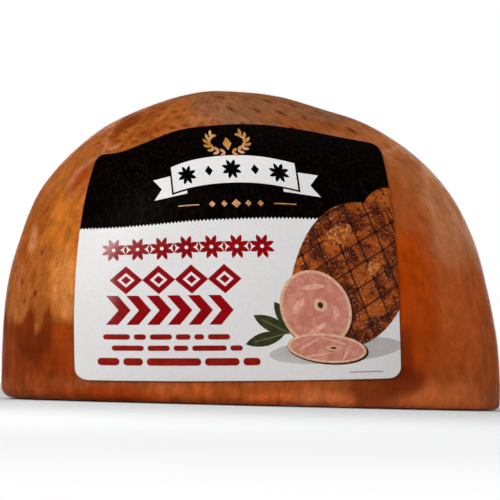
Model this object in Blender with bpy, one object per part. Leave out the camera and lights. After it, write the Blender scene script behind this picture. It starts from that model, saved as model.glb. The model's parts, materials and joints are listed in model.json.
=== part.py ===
"""Half of a boneless smoked ham in a clear shrink bag, standing on its cut face, with a paper label on the front.

Metres, +Z up, the labelled front towards -Y. The origin is the middle of the footprint, on the surface that it
stands on. The bag is drawn tight over the meat, so the two are one solid; the label is a thin curved sheet on it.
"""

import math

import bmesh
import bpy
from mathutils import Vector, noise
from mathutils.bvhtree import BVHTree

MM = 0.001

# Overall size of the wrapped half ham
HEIGHT = 135.0 * MM
REACH_LEFT = 107.8 * MM
REACH_RIGHT = 107.0 * MM
REACH_FRONT = 64.0 * MM
REACH_BACK = 66.0 * MM

# The crest stands left of the middle, so the left flank is steep and the right one long
CREST_X = -18.5 * MM
CREST_Y = 3.0 * MM

# Each flank falls from the crest to the base as (1 - share**drop)**(1 / spread), share being height over HEIGHT
FLANKS = {
    "left": {"reach": REACH_LEFT, "drop": 3.4, "spread": 1.48},
    "right": {"reach": REACH_RIGHT, "drop": 2.45, "spread": 2.34},
    "front": {"reach": REACH_FRONT, "drop": 3.0, "spread": 1.8},
    "back": {"reach": REACH_BACK, "drop": 2.6, "spread": 2.0},
}

# A level section is an ellipse near the crest and squarer towards the base
SQUARE_AT_CREST = 2.05
SQUARE_AT_BASE = 2.75

# The edge of the cut face, rounded by the bag, tighter on the right than on the left
EDGE_ROUND_LEFT = 5.5 * MM
EDGE_ROUND_RIGHT = 3.0 * MM
EDGE_STEPS = 3

# Mesh density: spans along one side of the crest patch, rings between the patch and the cut face's edge.
# The patch is a square grid drawn almost into a disc: a full disc would flatten its corners.
CREST_SPANS = 31
CREST_SHARE = 0.42
CREST_SQUARENESS = 0.15
FLANK_RINGS = 23

# Bulges and hollows of the meat: centre x, y, z, radius and height above the flanks, in millimetres
LUMPS_MM = {
    "right_waist": (102, 0, 50, 20, -1.5),
    "right_of_crest": (26, 0, 130, 16, -1.4),
    "left_shoulder": (-64, 0, 120, 15, 0.85),
    "left_waist": (-101, 0, 71, 13, -1.05),
    "front_right_cheek": (76, -42, 52, 26, 1.2),
    "front_left_cheek": (-88, -34, 40, 22, 1.4),
    "back_left_muscle": (-45, 58, 62, 34, 3.0),
    "back_right_muscle": (48, 60, 44, 30, 2.4),
    "back_seam_hollow": (6, 64, 60, 20, -2.6),
}

# Slow unevenness of the meat all over
WAVE_HEIGHT = 0.7 * MM
WAVE_LENGTH = 38.0 * MM

# Folds of the bag: points x, z on the front half, then fold height and half width, in millimetres
FOLDS_MM = {
    "left_corner_fold": (((-64, 112), (-70, 105), (-77, 96), (-80, 84)), 1.0, 3.4),
    "left_corner_ridge": (((-66, 104), (-64, 110), (-61, 119)), 0.8, 3.0),
    "right_outer_pleat": (((79, 97), (84, 88), (87, 76), (93, 66)), 0.9, 3.2),
    "right_inner_pleat": (((69, 106), (73, 96), (77, 76), (79, 62)), 0.8, 3.2),
}

# How far round from the outermost line the folds fade in, and how far above the edge all unevenness does
FOLD_FADE = 12.0 * MM
BASE_FADE = 12.0 * MM

# Paper label: flat size, sheet and fit
LABEL_WIDTH = 134.0 * MM
LABEL_HEIGHT = 112.0 * MM
LABEL_CORNER = 5.5 * MM
LABEL_THICKNESS = 0.5 * MM
LABEL_GAP = 0.35 * MM
LABEL_COLUMNS = 25
LABEL_MIDDLE_ROWS = 18
LABEL_CORNER_STEPS = 3

# Where the label's edges lie, seen from the front: x, z in millimetres.
# Its sides lean in and its top edge rises to an arch, because the ham turns away from the front there.
LABEL_LEFT_MM = ((-73.2, 9.0), (-75.5, 40.0), (-75.2, 80.0), (-67.0, 104.0))
LABEL_RIGHT_MM = ((62.8, 13.2), (61.0, 45.0), (60.0, 82.0), (52.0, 111.7))
LABEL_BOTTOM_MM = ((-73.2, 9.0), (-28.0, 9.2), (20.0, 11.0), (62.8, 13.2))
LABEL_TOP_MM = ((-67.0, 104.0), (-57.0, 105.3), (-46.0, 109.9), (-33.0, 115.3), (-17.0, 117.7), (0.0, 118.5),
                (18.0, 117.0), (35.0, 114.2), (52.0, 111.7))

SMOKED_SKIN = (0.36, 0.105, 0.028, 1.0)
LABEL_WHITE = (0.72, 0.69, 0.67, 1.0)


def lerp(a, b, share):
    return a + (b - a) * share


def ramp(value, start, end):
    """0 before start, 1 after end, and even in between."""
    return max(0.0, min(1.0, (value - start) / (end - start)))


def flank(name, share):
    """How far the flank stands out from the crest line at this share of the height, 1 at the base."""
    shape = FLANKS[name]
    return max(0.0, 1 - share ** shape["drop"]) ** (1 / shape["spread"])


def skin_point(share, angle, rise=0.0):
    """A point of the plain form at a share of the height, where angle 0 is the right and a quarter turn the back."""
    across, along = math.cos(angle), math.sin(angle)
    square = lerp(SQUARE_AT_BASE, SQUARE_AT_CREST, share)
    push = (abs(across) ** square + abs(along) ** square) ** (-1 / square)
    side, face = ("right" if across >= 0 else "left"), ("back" if along >= 0 else "front")
    way_x, way_y = (1 if across >= 0 else -1), (1 if along >= 0 else -1)
    room_x = FLANKS[side]["reach"] - way_x * CREST_X
    room_y = FLANKS[face]["reach"] - way_y * CREST_Y
    x = CREST_X + room_x * flank(side, share) * push * across
    y = CREST_Y + room_y * flank(face, share) * push * along
    return Vector((x, y, share * (HEIGHT - rise) + rise))


def patch_point(column, row):
    """Walk from the crest, where 1 is the cut face's edge, and angle of a point of the crest patch."""
    a, b = 2 * column / CREST_SPANS - 1, 2 * row / CREST_SPANS - 1
    x = a * lerp(math.sqrt(1 - b * b / 2), 1, CREST_SQUARENESS)
    y = b * lerp(math.sqrt(1 - a * a / 2), 1, CREST_SQUARENESS)
    return CREST_SHARE * math.hypot(x, y), math.atan2(y, x)


def edge_round(angle):
    """Radius of the cut face's rounded edge at this angle."""
    return lerp(EDGE_ROUND_LEFT, EDGE_ROUND_RIGHT, (1 + math.cos(angle)) / 2)


def share_of_height(walk):
    """Share of the height after walking from the crest, 0, to the edge of the cut face, 1."""
    return max(0.0, math.cos(walk * math.pi / 2)) ** 0.9


def crest_patch(mesh):
    """The top of the ham as a grid, then its rim in order round the ham and the rim's walks and angles."""
    grid = {}
    for column in range(CREST_SPANS + 1):
        for row in range(CREST_SPANS + 1):
            walk, angle = patch_point(column, row)
            grid[column, row] = mesh.verts.new(skin_point(share_of_height(walk), angle, edge_round(angle)))
    for column in range(CREST_SPANS):
        for row in range(CREST_SPANS):
            corners = ((column, row), (column + 1, row), (column + 1, row + 1), (column, row + 1))
            mesh.faces.new([grid[corner] for corner in corners])
    last = CREST_SPANS
    rim = [(i, 0) for i in range(last)] + [(last, i) for i in range(last)]
    rim += [(last - i, last) for i in range(last)] + [(0, last - i) for i in range(last)]
    return [grid[place] for place in rim], [patch_point(column, row) for column, row in rim]


def next_ring(mesh, ring, points):
    """A ring of new points below ring, joined to it by quads."""
    lower = [mesh.verts.new(point) for point in points]
    for i in range(len(ring)):
        j = (i + 1) % len(ring)
        mesh.faces.new((ring[i], lower[i], lower[j], ring[j]))
    return lower


def close_base(mesh, ring, angles):
    """Rounds the edge of the cut face and closes it with one flat face."""
    edge = [vert.co.copy() for vert in ring]
    inward = []
    for i in range(len(edge)):
        run = edge[(i + 1) % len(edge)] - edge[i - 1]
        inward.append(Vector((-run.y, run.x, 0)).normalized())
    for step in range(1, EDGE_STEPS + 1):
        turn = step / EDGE_STEPS * math.pi / 2
        points = []
        for point, way, angle in zip(edge, inward, angles):
            radius = edge_round(angle)
            shift = way * radius * (1 - math.cos(turn))
            points.append(Vector((point.x + shift.x, point.y + shift.y, radius * (1 - math.sin(turn)))))
        ring = next_ring(mesh, ring, points)
    mesh.faces.new(list(reversed(ring)))


def distance_to_path(x, z, path):
    """Distance from a point to a path of straight runs, and how far along the path it is, from 0 to 1."""
    best, along = None, 0.0
    for i, ((x0, z0), (x1, z1)) in enumerate(zip(path, path[1:])):
        dx, dz = x1 - x0, z1 - z0
        share = max(0.0, min(1.0, ((x - x0) * dx + (z - z0) * dz) / (dx * dx + dz * dz)))
        distance = math.hypot(x - x0 - dx * share, z - z0 - dz * share)
        if best is None or distance < best:
            best, along = distance, (i + share) / (len(path) - 1)
    return best, along


def relief(point):
    """Height of lumps, slow waves and bag folds at a point of the plain form. It fades out towards the cut face."""
    height = WAVE_HEIGHT * noise.noise(point / WAVE_LENGTH)
    here = point / MM
    for x, y, z, radius, rise in LUMPS_MM.values():
        away = (here - Vector((x, y, z))).length / radius
        height += rise * MM * math.exp(-away * away)
    on_front = ramp(-point.y, 0.0, FOLD_FADE)
    for path, rise, half_width in FOLDS_MM.values():
        distance, along = distance_to_path(here.x, here.z, path)
        fade = on_front * math.sin(math.pi * lerp(0.08, 0.92, along))
        height += rise * MM * fade * math.exp(-((distance / half_width) ** 2))
    return height * ramp(point.z, EDGE_ROUND_LEFT, EDGE_ROUND_LEFT + BASE_FADE)


def wrapped_ham():
    """The bag with the meat in it, closed from crest to cut face."""
    mesh = bmesh.new()
    ring, starts = crest_patch(mesh)
    for step in range(1, FLANK_RINGS + 1):
        points = []
        for start, angle in starts:
            share = share_of_height(lerp(start, 1.0, step / FLANK_RINGS))
            points.append(skin_point(share, angle, edge_round(angle)))
        ring = next_ring(mesh, ring, points)
    close_base(mesh, ring, [angle for _, angle in starts])
    bmesh.ops.recalc_face_normals(mesh, faces=mesh.faces)
    mesh.normal_update()
    moved = [(vert, vert.co + vert.normal * relief(vert.co)) for vert in mesh.verts if vert.co.z > EDGE_ROUND_LEFT]
    for vert, place in moved:
        vert.co = place
    mesh.normal_update()
    return mesh


def bezier(points, share):
    """A point on the cubic curve of four x, z points."""
    rest = 1 - share
    weights = (rest ** 3, 3 * rest * rest * share, 3 * rest * share * share, share ** 3)
    return tuple(sum(w * p[k] for w, p in zip(weights, points)) for k in (0, 1))


def through_points(points, share):
    """A point on the smooth curve through all the x, z points."""
    spans = len(points) - 1
    i = min(int(share * spans), spans - 1)
    t = share * spans - i
    before, start, end, after = (points[max(0, min(spans, k))] for k in (i - 1, i, i + 1, i + 2))
    return tuple(
        0.5 * (2 * s + (e - b) * t + (2 * b - 5 * s + 4 * e - a) * t * t + (3 * s - b - 3 * e + a) * t ** 3)
        for b, s, e, a in zip(before, start, end, after)
    )


def label_front_view(across, up):
    """Where a point of the flat label, as shares of its width and height, lies seen from the front."""
    left, right = bezier(LABEL_LEFT_MM, up), bezier(LABEL_RIGHT_MM, up)
    bottom, top = bezier(LABEL_BOTTOM_MM, across), through_points(LABEL_TOP_MM, across)
    low_left, low_right, top_left, top_right = LABEL_LEFT_MM[0], LABEL_RIGHT_MM[0], LABEL_TOP_MM[0], LABEL_TOP_MM[-1]
    place = []
    for k in (0, 1):
        edges = lerp(bottom[k], top[k], up) + lerp(left[k], right[k], across)
        corners = lerp(lerp(low_left[k], low_right[k], across), lerp(top_left[k], top_right[k], across), up)
        place.append((edges - corners) * MM)
    return place


def label_rows():
    """Heights of the label's rows of points from its lower edge, close together round the corners."""
    turns = [step / LABEL_CORNER_STEPS * math.pi / 2 for step in range(LABEL_CORNER_STEPS)]
    low = [LABEL_CORNER * (1 - math.cos(turn)) for turn in turns]
    straight = LABEL_HEIGHT - 2 * LABEL_CORNER
    middle = [LABEL_CORNER + straight * i / LABEL_MIDDLE_ROWS for i in range(LABEL_MIDDLE_ROWS + 1)]
    return low + middle + [LABEL_HEIGHT - height for height in reversed(low)]


def label_inset(height):
    """How far the rounded corners take the label's side in at this height."""
    into_corner = LABEL_CORNER - min(height, LABEL_HEIGHT - height)
    if into_corner <= 0:
        return 0.0
    return LABEL_CORNER - math.sqrt(max(0.0, LABEL_CORNER ** 2 - into_corner ** 2))


def label_grid(ham):
    """The label's rows of points, laid on the ham's front."""
    tree = BVHTree.FromBMesh(ham)
    start_y, rows = -3 * REACH_FRONT, []
    for height in label_rows():
        inset = label_inset(height)
        row = []
        for column in range(LABEL_COLUMNS + 1):
            along = lerp(inset, LABEL_WIDTH - inset, column / LABEL_COLUMNS)
            x, z = label_front_view(along / LABEL_WIDTH, height / LABEL_HEIGHT)
            place, _, _, _ = tree.ray_cast(Vector((x, start_y, z)), Vector((0, 1, 0)))
            row.append(place)
        rows.append(row)
    return rows


def grid_normal(rows, i, j):
    """The outward direction of a grid of points at one of them."""
    up = rows[min(i + 1, len(rows) - 1)][j] - rows[max(i - 1, 0)][j]
    across = rows[i][min(j + 1, len(rows[i]) - 1)] - rows[i][max(j - 1, 0)]
    return across.cross(up).normalized()


def front_label(ham):
    """The label as a closed thin sheet that follows the ham, just clear of it."""
    rows = label_grid(ham)
    mesh = bmesh.new()
    faces_of = []
    for lift in (LABEL_GAP, LABEL_GAP + LABEL_THICKNESS):
        faces_of.append([
            [mesh.verts.new(point + grid_normal(rows, i, j) * lift) for j, point in enumerate(row)]
            for i, row in enumerate(rows)
        ])
    inner, outer = faces_of
    last_row, last_column = len(rows) - 1, LABEL_COLUMNS
    for i in range(last_row):
        for j in range(last_column):
            corners = ((i, j), (i, j + 1), (i + 1, j + 1), (i + 1, j))
            mesh.faces.new([outer[a][b] for a, b in corners])
            mesh.faces.new([inner[a][b] for a, b in reversed(corners)])
    rim = [(0, j) for j in range(last_column)] + [(i, last_column) for i in range(last_row)]
    rim += [(last_row, last_column - j) for j in range(last_column)] + [(last_row - i, 0) for i in range(last_row)]
    for (i, j), (a, b) in zip(rim, rim[1:] + rim[:1]):
        mesh.faces.new((inner[i][j], inner[a][b], outer[a][b], outer[i][j]))
    bmesh.ops.recalc_face_normals(mesh, faces=mesh.faces)
    return mesh


def material(name, colour, roughness):
    made = bpy.data.materials.new(name)
    made.use_nodes = True
    shader = made.node_tree.nodes["Principled BSDF"]
    shader.inputs["Base Color"].default_value = colour
    shader.inputs["Roughness"].default_value = roughness
    shader.inputs["Metallic"].default_value = 0.0
    return made


def centre_on_footprint(*meshes):
    """Shifts the meshes so that the origin is under the middle of them all."""
    points = [vert.co for mesh in meshes for vert in mesh.verts]
    middle_x = (min(p.x for p in points) + max(p.x for p in points)) / 2
    middle_y = (min(p.y for p in points) + max(p.y for p in points)) / 2
    for mesh in meshes:
        bmesh.ops.translate(mesh, verts=mesh.verts, vec=(-middle_x, -middle_y, 0))


def add_object(name, mesh, finish):
    data = bpy.data.meshes.new(name)
    mesh.to_mesh(data)
    mesh.free()
    data.materials.append(finish)
    data.shade_smooth()
    data.set_sharp_from_angle(angle=math.radians(50))
    made = bpy.data.objects.new(name, data)
    bpy.context.scene.collection.objects.link(made)
    return made


def main():
    for old in list(bpy.data.objects):
        bpy.data.objects.remove(old)
    ham = wrapped_ham()
    centre_on_footprint(ham)
    label = front_label(ham)
    centre_on_footprint(ham, label)
    add_object("wrapped_ham", ham, material("smoked_skin", SMOKED_SKIN, 0.3))
    add_object("label", label, material("label_paper", LABEL_WHITE, 0.4))


main()
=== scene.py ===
"""Looks of the vacuum-packed half ham: smoked meat, clear film, printed label, studio, lights and camera.

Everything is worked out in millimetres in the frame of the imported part, +X right, the labelled front towards
-Y, +Z up, and turned into metres where it goes to Blender.
"""

import json
import math

import bmesh
import bpy
import numpy as np
from mathutils import Matrix, Vector, noise
from mathutils.bvhtree import BVHTree
from mathutils.geometry import delaunay_2d_cdt

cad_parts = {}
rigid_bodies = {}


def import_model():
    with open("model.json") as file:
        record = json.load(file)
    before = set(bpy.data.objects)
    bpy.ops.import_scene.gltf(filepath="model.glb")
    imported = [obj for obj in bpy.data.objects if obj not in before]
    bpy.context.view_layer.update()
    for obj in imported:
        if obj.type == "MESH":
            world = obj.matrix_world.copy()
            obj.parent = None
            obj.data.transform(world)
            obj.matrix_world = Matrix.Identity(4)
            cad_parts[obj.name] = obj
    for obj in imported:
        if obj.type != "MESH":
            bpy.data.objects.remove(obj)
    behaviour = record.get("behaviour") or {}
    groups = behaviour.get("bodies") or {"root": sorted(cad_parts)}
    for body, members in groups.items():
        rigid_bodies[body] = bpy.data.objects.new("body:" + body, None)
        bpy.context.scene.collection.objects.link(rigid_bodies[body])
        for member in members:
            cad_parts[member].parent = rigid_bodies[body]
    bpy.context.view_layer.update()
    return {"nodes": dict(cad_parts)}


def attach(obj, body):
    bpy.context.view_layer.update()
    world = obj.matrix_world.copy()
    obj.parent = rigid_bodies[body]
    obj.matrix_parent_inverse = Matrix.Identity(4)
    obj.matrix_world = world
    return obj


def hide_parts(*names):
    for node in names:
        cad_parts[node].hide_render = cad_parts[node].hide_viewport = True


MM = 0.001

# Skin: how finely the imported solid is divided, and how deep the meat and the film lie under it
SUBDIVISIONS = 2
BASE_RINGS = 12
MEAT_DEPTH = 0.35
MEAT_UNEVENNESS = 0.12
FILM_DEPTH = 0.05

# How strongly the film mirrors the room: weakly in front, as in the photograph; then its gloss
FILM_SHINE_FRONT = 0.15
FILM_SHINE_BACK = 0.5
FILM_ROUGHNESS = 0.24
FILM_IOR = 1.4

# Waves of the film: height and size round the lower edge, then height and size of the upright ones
RIM_WAVE_HEIGHT = 0.22
RIM_WAVE_REACH = 30.0
UPRIGHT_WAVE_HEIGHT = 0.16
UPRIGHT_WAVE_SIZE = (7, 7, 40)

# Charts of the skin: marks are laid out round a level axis, and streaks run down from the crest
CHART_AXIS_Z = 50.0
CHART_RADIUS = 78.0
CREST_X = -18.5
STREAK_WIDTH = 95.0
STREAK_DEPTH = 65.0
STREAK_REACH = 0.3
STREAK_RISE = 0.3

# Small marks of the skin: how the lattice is shifted on its chart, how the marks slant, and for each kind the
# lattice's pitch, the mark's half length and half width, how loosely it is placed, and its strength
MARK_SHIFT = (0.8, 2.6, 0)
MARK_TILT = math.radians(-44)
SPOTS = ((5.9, 5.4), (1.9, 1.3), 3.0, 0.85)
DASHES = ((10.6, 10.4), (2.9, 1.35), 0.0, 0.9)
FLECK_SIZE = 4.6
FLECK_STRENGTH = 0.85

# Label: flat size, sheet, print, and where its edges lie seen from the front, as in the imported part
LABEL_WIDTH = 134.0
LABEL_HEIGHT = 112.0
LABEL_CORNER = 5.5
LABEL_LIFT = 0.62
LABEL_THICKNESS = 0.22
LABEL_ARCH = 3.0
LABEL_WAVE_HEIGHT = 0.10
SHEET_SPACING = 2.0
RAY_START_Y = -300.0
NORMAL_STEP = 0.4
EMBLEM_X = 69.5
RIBBON_HALF_WIDTH = 26.0
RIBBON_HEIGHT = 11.5
RIBBON_MIDDLE = 90.4
RIBBON_RISE = 2.6
RIBBON_STEPS = 16
FIELD_EDGE = (70.2, 72.8)
GOLD_RULE = 78.5
WREATH_MIDDLE = 104.6
WREATH_REACH = (8.0, 4.8)
STAR_TURNS = [22.5 + 45 * k for k in range(8)]
LABEL_LEFT = ((-73.2, 9.0), (-75.5, 40.0), (-75.2, 80.0), (-67.0, 104.0))
LABEL_RIGHT = ((62.8, 13.2), (61.0, 45.0), (60.0, 82.0), (52.0, 111.7))
LABEL_BOTTOM = ((-73.2, 9.0), (-28.0, 9.2), (20.0, 11.0), (62.8, 13.2))
LABEL_TOP = ((-67.0, 104.0), (-57.0, 105.3), (-46.0, 109.9), (-33.0, 115.3), (-17.0, 117.7), (0.0, 118.5),
             (18.0, 117.0), (35.0, 114.2), (52.0, 111.7))

# Camera: it stands low in front, and looks slightly up at the middle of the picture
CAMERA_PLACE = (-1.7, -2200.0, 20.0)
PICTURE_CENTRE = (-1.7, 0.0, 66.4)
PICTURE_WIDTH = 215.0
CAMERA_ROLL = 1.45
SENSOR_WIDTH = 36.0

# Studio: how light the floor is near the ham, and the round wall far from it
FLOOR_TONE = 0.55
FLOOR_FADE = (600, 1500)
FLOOR_RADIUS = 1500.0
STAGE_RADIUS = 2900.0
STAGE_SWEEP = 900.0
STAGE_HEIGHT = 3200.0
STAGE_STEPS = 16
STAGE_SIDES = 96
AIR_TONE = (0.9, 0.95, 1.0, 1)
AIR_STRENGTH = 0.1


def srgb(red, green, blue):
    """Linear colour of an 8-bit screen colour."""
    def channel(value):
        value /= 255
        return value / 12.92 if value <= 0.04045 else ((value + 0.055) / 1.055) ** 2.4
    return channel(red), channel(green), channel(blue)


# How far the edges of the patches wander, in front and on the back, and how much less grain shows on the
# ham's right and on its back
PATCH_WOBBLE = 3.0
PATCH_WOBBLE_BACK = 14.0
GRAIN_LOSS_RIGHT = 0.55
GRAIN_LOSS_BACK = 0.35

# Tones of the smoked skin
PLAIN = srgb(163, 88, 40)
PALE = srgb(178, 108, 62)
BROWN = srgb(121, 44, 8)
RUST = srgb(152, 64, 22)
# Painted highlight: the pale tone laid along the film's folds where they would shine
FOLD_HIGHLIGHT = srgb(216, 164, 136)
BLOTCH = srgb(112, 44, 12)
SPOT_BROWN = srgb(120, 50, 14)
FLECK_BROWN = srgb(84, 36, 14)
DASH_BROWN = srgb(92, 30, 14)
CUT_MEAT = srgb(205, 128, 112)
CUT_MEAT_PALE = srgb(222, 158, 140)
CUT_FAT = srgb(232, 206, 184)

# Patches of tone in the order of painting, placed as they lie seen from the front: centre x and z, half width
# and half height, tilt, 8-bit screen colour, strength
FRONT_TONES = {
    "left side": ((-92, 66), (26, 60), -8, (162, 88, 34), 1.0),
    "upper left": ((-56, 117), (44, 15), 38, (156, 85, 31), 1.0),
    # Partly the skin's own tone and partly painted sheen: the grey tan of the top stands in for the film's
    # soft shine
    "top": ((4, 127), (50, 13), -5, (133, 82, 49), 1.0),
    "right shoulder": ((64, 100), (30, 26), -38, (168, 97, 54), 1.0),
    # Partly the skin's own tone and partly painted sheen: the pale tan of the right side stands in for the
    # film's soft shine
    "right tan": ((86, 78), (13, 31), 22, (192, 122, 76), 0.9),
    "right inner": ((67, 44), (16, 46), 4, (180, 69, 10), 1.0),
    "right outer": ((91, 36), (13, 38), 9, (191, 91, 41), 1.0),
    "bottom band": ((-6, 1), (90, 7), 0, (212, 100, 42), 0.9),
    "bottom band left": ((-62, 3), (26, 5), 0, (168, 59, 8), 0.9),
    "bottom band middle": ((-18, 2), (20, 5), 0, (186, 87, 32), 0.9),
    "bottom band right": ((31, 1.5), (17, 5), 0, (214, 116, 62), 0.9),
    "bottom right": ((84, 4), (22, 9), 0, (214, 111, 55), 0.9),
    "far right": ((103, 28), (5, 26), 6, (180, 90, 39), 0.8),
    "bottom far right": ((103, 6), (5, 9), 0, (167, 82, 37), 0.8),
    "bottom left": ((-94, 3), (26, 6), 0, (162, 71, 24), 0.8),
    "left beside the label": ((-80, 64), (7, 34), -2, (183, 102, 33), 0.9),
    "amber": ((-79.5, 50), (6.5, 15), 2, (199, 123, 58), 1.0),
    "amber low": ((-76, 38), (5, 5), 0, (200, 120, 62), 0.9),
    "left outer": ((-102, 52), (4, 12), -5, (172, 99, 48), 0.8),
    "amber far left": ((-99, 38), (4, 6), 0, (184, 108, 50), 0.7),
    "left streak": ((-89, 78), (3, 14), -18, (150, 74, 18), 0.7),
    "left pale streak": ((-86, 92), (2.2, 12), -22, (178, 102, 50), 0.5),
    # Painted highlight: a thin pale pink line where the film shines at the left edge
    "left rim highlight": ((-90.6, 93.5), (1.8, 8), -33, (200, 134, 98), 0.7),
    "left pale spot": ((-93, 68), (2.5, 6), -12, (196, 130, 86), 0.7),
    "left dark spot": ((-98, 62), (3.5, 5), 0, (146, 68, 20), 0.6),
    "label corner hollow": ((-75.5, 93), (3, 8), -28, (142, 58, 16), 0.9),
    "shoulder dark": ((-57, 118.5), (10, 3.4), 36, (112, 46, 9), 0.9),
    "shoulder dark low": ((-61, 112.5), (6, 3), 48, (126, 54, 14), 0.85),
    "shoulder dark high": ((-44, 124), (8, 2.4), 26, (120, 56, 18), 0.6),
    "shoulder spots": ((-45, 115.5), (7, 2.2), 20, (128, 54, 12), 0.7),
    "shoulder light": ((-70, 108), (4, 9), -38, (160, 88, 38), 0.8),
    "left of the crest": ((-31, 124), (6, 6), 30, (158, 84, 30), 0.8),
    "crest light": ((-25, 121), (4, 3), 0, (168, 104, 60), 0.8),
    # Partly painted sheen: the greyer tone right of the crest
    "crest pale": ((-12, 123), (9, 4), -14, (149, 96, 64), 0.8),
    "over the label": ((22, 119.5), (24, 3.2), -8, (142, 72, 24), 0.85),
    # Partly painted sheen: greyer tone at the top
    "top grey": ((34, 126.5), (12, 3), -12, (134, 92, 64), 0.7),
    "beside the label's top": ((60, 89), (4, 16), 10, (168, 82, 30), 0.9),
    # Painted highlight: a thin pale streak where a film pleat shines
    "shoulder streak highlight": ((73, 103), (2.4, 8), 22, (200, 134, 96), 0.7),
    # Partly the skin's own tone and partly painted sheen
    "tan low": ((85, 74), (8, 14), 18, (198, 124, 78), 0.7),
    # Painted highlight: a thin pale streak where a film pleat shines
    "outer streak highlight": ((91, 77), (3, 14), 24, (206, 138, 100), 0.75),
    "beside the label": ((63, 52), (4, 24), 2, (184, 68, 4), 0.9),
    # Painted shadow of the label, along its right edge
    "label's shadow high on its right": ((64, 29), (4, 7), 0, (156, 58, 10), 0.8),
    "label's right corner": ((57, 111), (9, 6), -35, (178, 104, 55), 0.8),
    "right low": ((86, 22), (10, 12), 0, (192, 84, 28), 0.6),
    # Painted shadow: the next four patches darken the skin under the label's lower edge and round its lower
    # right corner
    "label's shadow under its edge": ((14, 9.5), (52, 3.2), 1.5, (172, 80, 32), 0.8),
    "label's shadow at its right edge": ((64.5, 21), (3.5, 11), 0, (122, 38, 6), 0.75),
    "label's shadow at its corner": ((65, 11), (9, 6.5), -12, (118, 36, 7), 0.8),
    "label's shadow under its right": ((53, 7.5), (16, 7), 2, (128, 48, 14), 0.8),
    "right pale spot": ((67, 79), (4, 3), 0, (182, 96, 46), 0.5),
}
BACK_TONES = {
    "back left": ((-84, 60), (28, 60), -8, (166, 88, 36), 0.9),
    "back upper left": ((-52, 112), (40, 18), 38, (146, 76, 32), 0.9),
    "back top": ((4, 124), (50, 16), -5, (133, 82, 49), 0.9),
    "back right tan": ((68, 84), (26, 42), 30, (184, 112, 68), 0.9),
    "back amber": ((-26, 72), (34, 38), 12, (192, 118, 60), 0.6),
    "back orange": ((36, 50), (40, 44), 8, (182, 84, 28), 0.7),
    "back rust": ((90, 34), (16, 36), 8, (180, 84, 34), 0.8),
    "back amber low": ((-56, 50), (15, 14), 0, (206, 132, 66), 0.8),
    "back amber middle": ((-6, 46), (15, 11), 0, (200, 124, 60), 0.7),
    "back pale streak": ((-62, 84), (4, 20), -16, (194, 126, 80), 0.6),
    "back dark high": ((2, 100), (20, 9), 12, (134, 66, 28), 0.7),
    "back dark left": ((-40, 92), (9, 14), -30, (140, 66, 24), 0.6),
    "back light right": ((46, 94), (15, 10), -24, (196, 128, 86), 0.7),
    "back rust low": ((66, 22), (20, 12), 0, (152, 64, 20), 0.6),
    "back band": ((0, 1), (90, 7), 0, (200, 96, 42), 0.7),
}

# The smoke line: below it the skin is dark, and on the back it is softer and wavy. The ham's right end, given
# in degrees from +X, stays light. In front, dark fingers reach above the line and pale dips below it: place x,
# reach and half width
SMOKE_LINE = 33.5
SMOKE_SOFTNESS = 2.6
SMOKE_SOFTENING_BACK = 3.4
SMOKE_RIPPLE = 0.7
SMOKE_WAVES_BACK = (6.0, 3.0)
SMOKE_STRENGTH_BACK = 0.65
SMOKE_STRENGTH_FRONT = 0.95
SMOKE_LIGHT_ANGLE = -10.0
SMOKE_LIGHT_REACH = (25, 75)
SMOKE_FINGERS = {"rim": (-107.2, 6.0, 1.8), "outer": (-94.0, 5.8, 2.1), "inner": (-86.6, 6.0, 1.7)}
SMOKE_DIPS = {"between": (-90.1, 5.0, 1.6), "outer light": (-100.9, 1.0, 2.8)}
SMOKE_LEAN = 0.14
SMOKE_TONES = {
    "darkest": ((-92, 25), (10, 12), 0, (100, 31, 5), 0.7),
    "beside the label": ((-77, 22), (8, 17), 0, (144, 54, 9), 0.85),
    "outer": ((-105, 22), (4, 14), 0, (140, 60, 20), 0.8),
}

# Fine folds of the film: points x and z, then height, half width, and how strongly a painted highlight
# lightens the fold
FRONT_FOLDS = {
    "label corner": (((-66.5, 103.6), (-69.5, 102.9), (-74.7, 98.5), (-77.4, 94.9), (-78.7, 90.4),
                      (-79.1, 85)), 0.30, 1.2, 0.22),
    "label corner up": (((-66.5, 103.6), (-64.7, 107.6), (-62.8, 114), (-61.4, 118.7)), 0.2, 1.5, 0.15),
    "corner light line": (((-65, 106.5), (-61.5, 107.5), (-57, 109.6)), 0.3, 0.8, 0.28),
    "shoulder line": (((52.5, 108), (59.5, 111.8), (65, 113)), 0.35, 0.9, 0.3),
    "right pleat": (((69.2, 106), (72, 99.7), (73.8, 92), (77.2, 76), (79, 63.6)), 0.4, 1.4, 0.18),
    "outer pleat": (((78.8, 96), (81, 90.7), (84, 84), (86.1, 76), (89, 70)), 0.45, 1.3, 0.32),
    "outer pleat two": (((88.4, 78), (91, 73), (94.3, 67.8), (95.5, 60)), 0.35, 1.2, 0.3),
    "nick": (((19.8, 124), (22.5, 121.8), (24.6, 118.5)), 0.35, 0.8, 0.0),
}
BACK_FOLDS = {
    "left": (((-72, 8), (-77, 30), (-72, 54), (-62, 76)), 0.35, 1.5, 0.12),
    "left short": (((-90, 30), (-88, 50), (-82, 66)), 0.3, 1.4, 0.14),
    "upper left": (((-34, 116), (-45, 100), (-60, 88)), 0.35, 1.5, 0.14),
    "middle": (((-14, 60), (-6, 78), (-10, 98)), 0.25, 1.5, 0.10),
    "upper right": (((16, 118), (32, 104), (48, 90), (58, 74)), 0.35, 1.5, 0.14),
    "right": (((60, 8), (66, 30), (66, 54)), 0.35, 1.5, 0.10),
    "right short": (((92, 22), (90, 44), (82, 66), (78, 80)), 0.35, 1.4, 0.14),
}


def lerp(a, b, share):
    return a + (b - a) * share


def ramp(value, start, end):
    """0 before start, 1 after end, smooth in between, for a number or an array."""
    share = np.clip((value - start) / (end - start), 0, 1)
    return share * share * (3 - 2 * share)


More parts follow.
